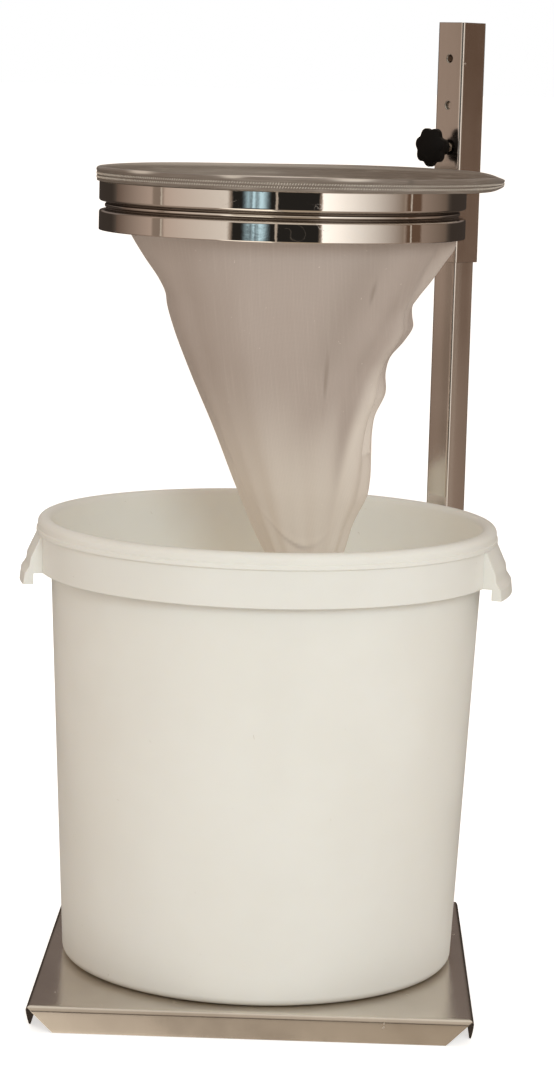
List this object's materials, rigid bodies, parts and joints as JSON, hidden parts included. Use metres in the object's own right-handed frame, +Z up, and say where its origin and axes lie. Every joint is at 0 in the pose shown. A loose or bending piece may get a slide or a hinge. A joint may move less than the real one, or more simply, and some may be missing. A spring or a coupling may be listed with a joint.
{
  "type": "conical strainer holder",
  "caption": "Square tray with a corner post; a clamped sliding sleeve carries a polished hoop that holds a conical mesh strainer over a bucket standing on the tray.",
  "frame": {"origin": "on the floor under the middle of the tray, which is also the middle of the whole part's plan", "axes": "+Z up, -Y toward the viewer of the picture, +X to the right; the post stands at +X +Y"},
  "size_m": [0.414, 0.387, 0.814],
  "materials": {
    "tray_steel": "satin, rubbed",
    "post_steel": "satin, ground along its length",
    "weld_steel": "brushed weld",
    "hoop_steel": "mirror polished",
    "screw_steel": "zinc plated",
    "knob_black": "black moulded plastic",
    "mesh_nylon": "fine woven nylon mesh",
    "hem_nylon": "folded and stitched nylon mesh",
    "bucket_white": "warm white moulded polyethylene"
  },
  "bodies": {
    "base": {"base_tray": "tray_steel", "corner_stiffener": "tray_steel", "post": "post_steel", "post_weld": "weld_steel"},
    "carrier": {"sleeve": "post_steel", "hoop_arm": "post_steel", "arm_welds": "weld_steel", "hoop": "hoop_steel"},
    "knob": {"knob_grip": "knob_black", "clamp_screw": "screw_steel"},
    "strainer": {"strainer_cone": "mesh_nylon", "strainer_hem": "hem_nylon", "hem_wire": "screw_steel"},
    "bucket": {"bucket": "bucket_white"}
  },
  "joints": [
    {"name": "height_slide", "type": "slide", "parent": "base", "child": "carrier", "axis": [0, 0, 1], "range_m": [-0.19, 0.05]},
    {"name": "knob_turn", "type": "hinge", "parent": "carrier", "child": "knob", "pos_m": [0.1545, 0.1545, 0.7068], "axis": [-0.7071, -0.7071, 0], "range_deg": [0, 720]},
    {"name": "strainer_lift", "type": "slide", "parent": "carrier", "child": "strainer", "axis": [0, 0, 1], "range_m": [0, 0.07]},
    {"name": "bucket_slide", "type": "slide", "parent": "base", "child": "bucket", "axis": [0, -1, 0], "range_m": [0, 0.05]}
  ]
}
